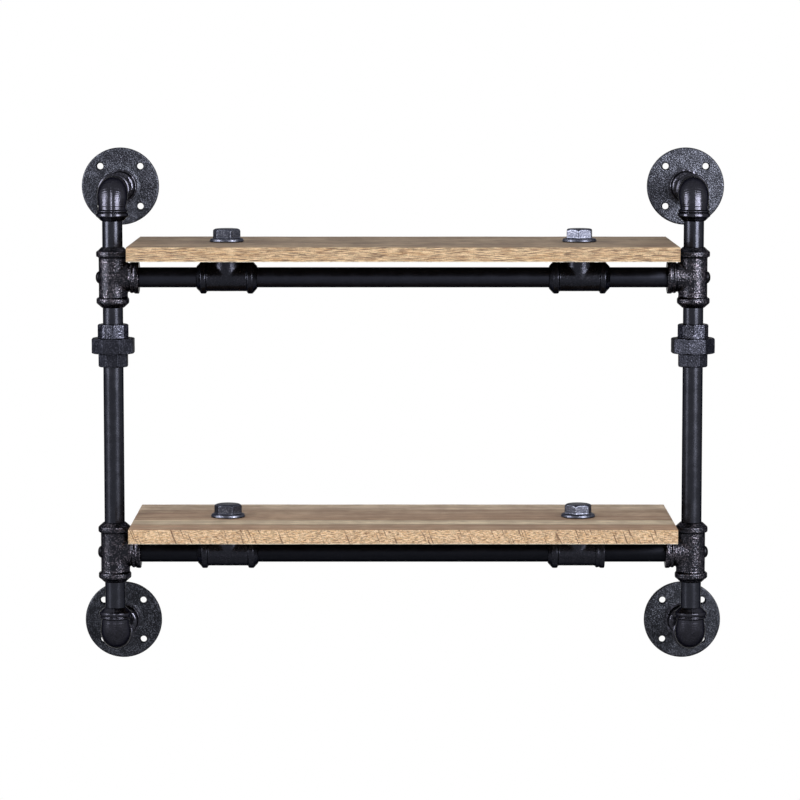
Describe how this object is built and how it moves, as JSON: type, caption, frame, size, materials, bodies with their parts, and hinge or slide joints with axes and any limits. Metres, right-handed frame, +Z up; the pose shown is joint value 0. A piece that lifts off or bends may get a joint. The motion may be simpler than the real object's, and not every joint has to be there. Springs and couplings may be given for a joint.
{
  "type": "pipe wall shelf",
  "caption": "Tiered wall shelf: wooden boards bolted to black iron pipe rails between side posts, which elbows and short pipes hold off the wall on round screw flanges.",
  "frame": {"origin": "on the wall plane, in the middle of the rectangle of the four wall flanges", "axes": "+X to the right as seen from the front, +Y into the wall, +Z up; the front of the shelf faces -Y"},
  "size_m": [0.6934, 0.215, 0.5566],
  "materials": {
    "cast_fitting": "black semi-gloss coat over rough casting",
    "black_pipe": "smooth satin black",
    "gunmetal_bolt": "smooth gunmetal, semi-gloss",
    "black_screw": "satin black",
    "plated_steel": "plain plated",
    "board_wood": "matt weathered wood with sawn edges"
  },
  "bodies": {
    "root": {"wall_flange_upper_left": "cast_fitting", "wall_flange_upper_right": "cast_fitting", "wall_flange_lower_left": "cast_fitting", "wall_flange_lower_right": "cast_fitting", "standoff_nipple_upper_left": "black_pipe", "standoff_nipple_upper_right": "black_pipe", "standoff_nipple_lower_left": "black_pipe", "standoff_nipple_lower_right": "black_pipe", "elbow_upper_left": "cast_fitting", "elbow_upper_right": "cast_fitting", "elbow_lower_left": "cast_fitting", "elbow_lower_right": "cast_fitting", "riser_nipple_upper_left": "black_pipe", "riser_nipple_upper_right": "black_pipe", "riser_nipple_lower_left": "black_pipe", "riser_nipple_lower_right": "black_pipe", "frame_tee_upper_left": "cast_fitting", "frame_tee_upper_right": "cast_fitting", "frame_tee_lower_left": "cast_fitting", "frame_tee_lower_right": "cast_fitting", "rail_screw_upper_left": "black_screw", "rail_screw_upper_right": "black_screw", "rail_screw_lower_left": "black_screw", "rail_screw_lower_right": "black_screw", "rail_insert_upper_left": "plated_steel", "rail_insert_upper_right": "plated_steel", "rail_insert_lower_left": "plated_steel", "rail_insert_lower_right": "plated_steel", "rail_end_pipe_upper_left": "black_pipe", "rail_end_pipe_upper_right": "black_pipe", "rail_end_pipe_lower_left": "black_pipe", "rail_end_pipe_lower_right": "black_pipe", "deck_tee_upper_left": "cast_fitting", "deck_tee_upper_right": "cast_fitting", "deck_tee_lower_left": "cast_fitting", "deck_tee_lower_right": "cast_fitting", "shelf_bolt_upper_left": "gunmetal_bolt", "shelf_bolt_upper_right": "gunmetal_bolt", "shelf_bolt_lower_left": "gunmetal_bolt", "shelf_bolt_lower_right": "gunmetal_bolt", "union_nipple_left": "black_pipe", "union_nipple_right": "black_pipe", "union_head_left": "cast_fitting", "union_head_right": "cast_fitting", "union_nut_left": "cast_fitting", "union_nut_right": "cast_fitting", "union_tail_left": "cast_fitting", "union_tail_right": "cast_fitting", "post_pipe_left": "black_pipe", "post_pipe_right": "black_pipe", "rail_middle_pipe_upper": "black_pipe", "rail_middle_pipe_lower": "black_pipe", "board_upper": "board_wood", "board_lower": "board_wood"}
  },
  "joints": []
}
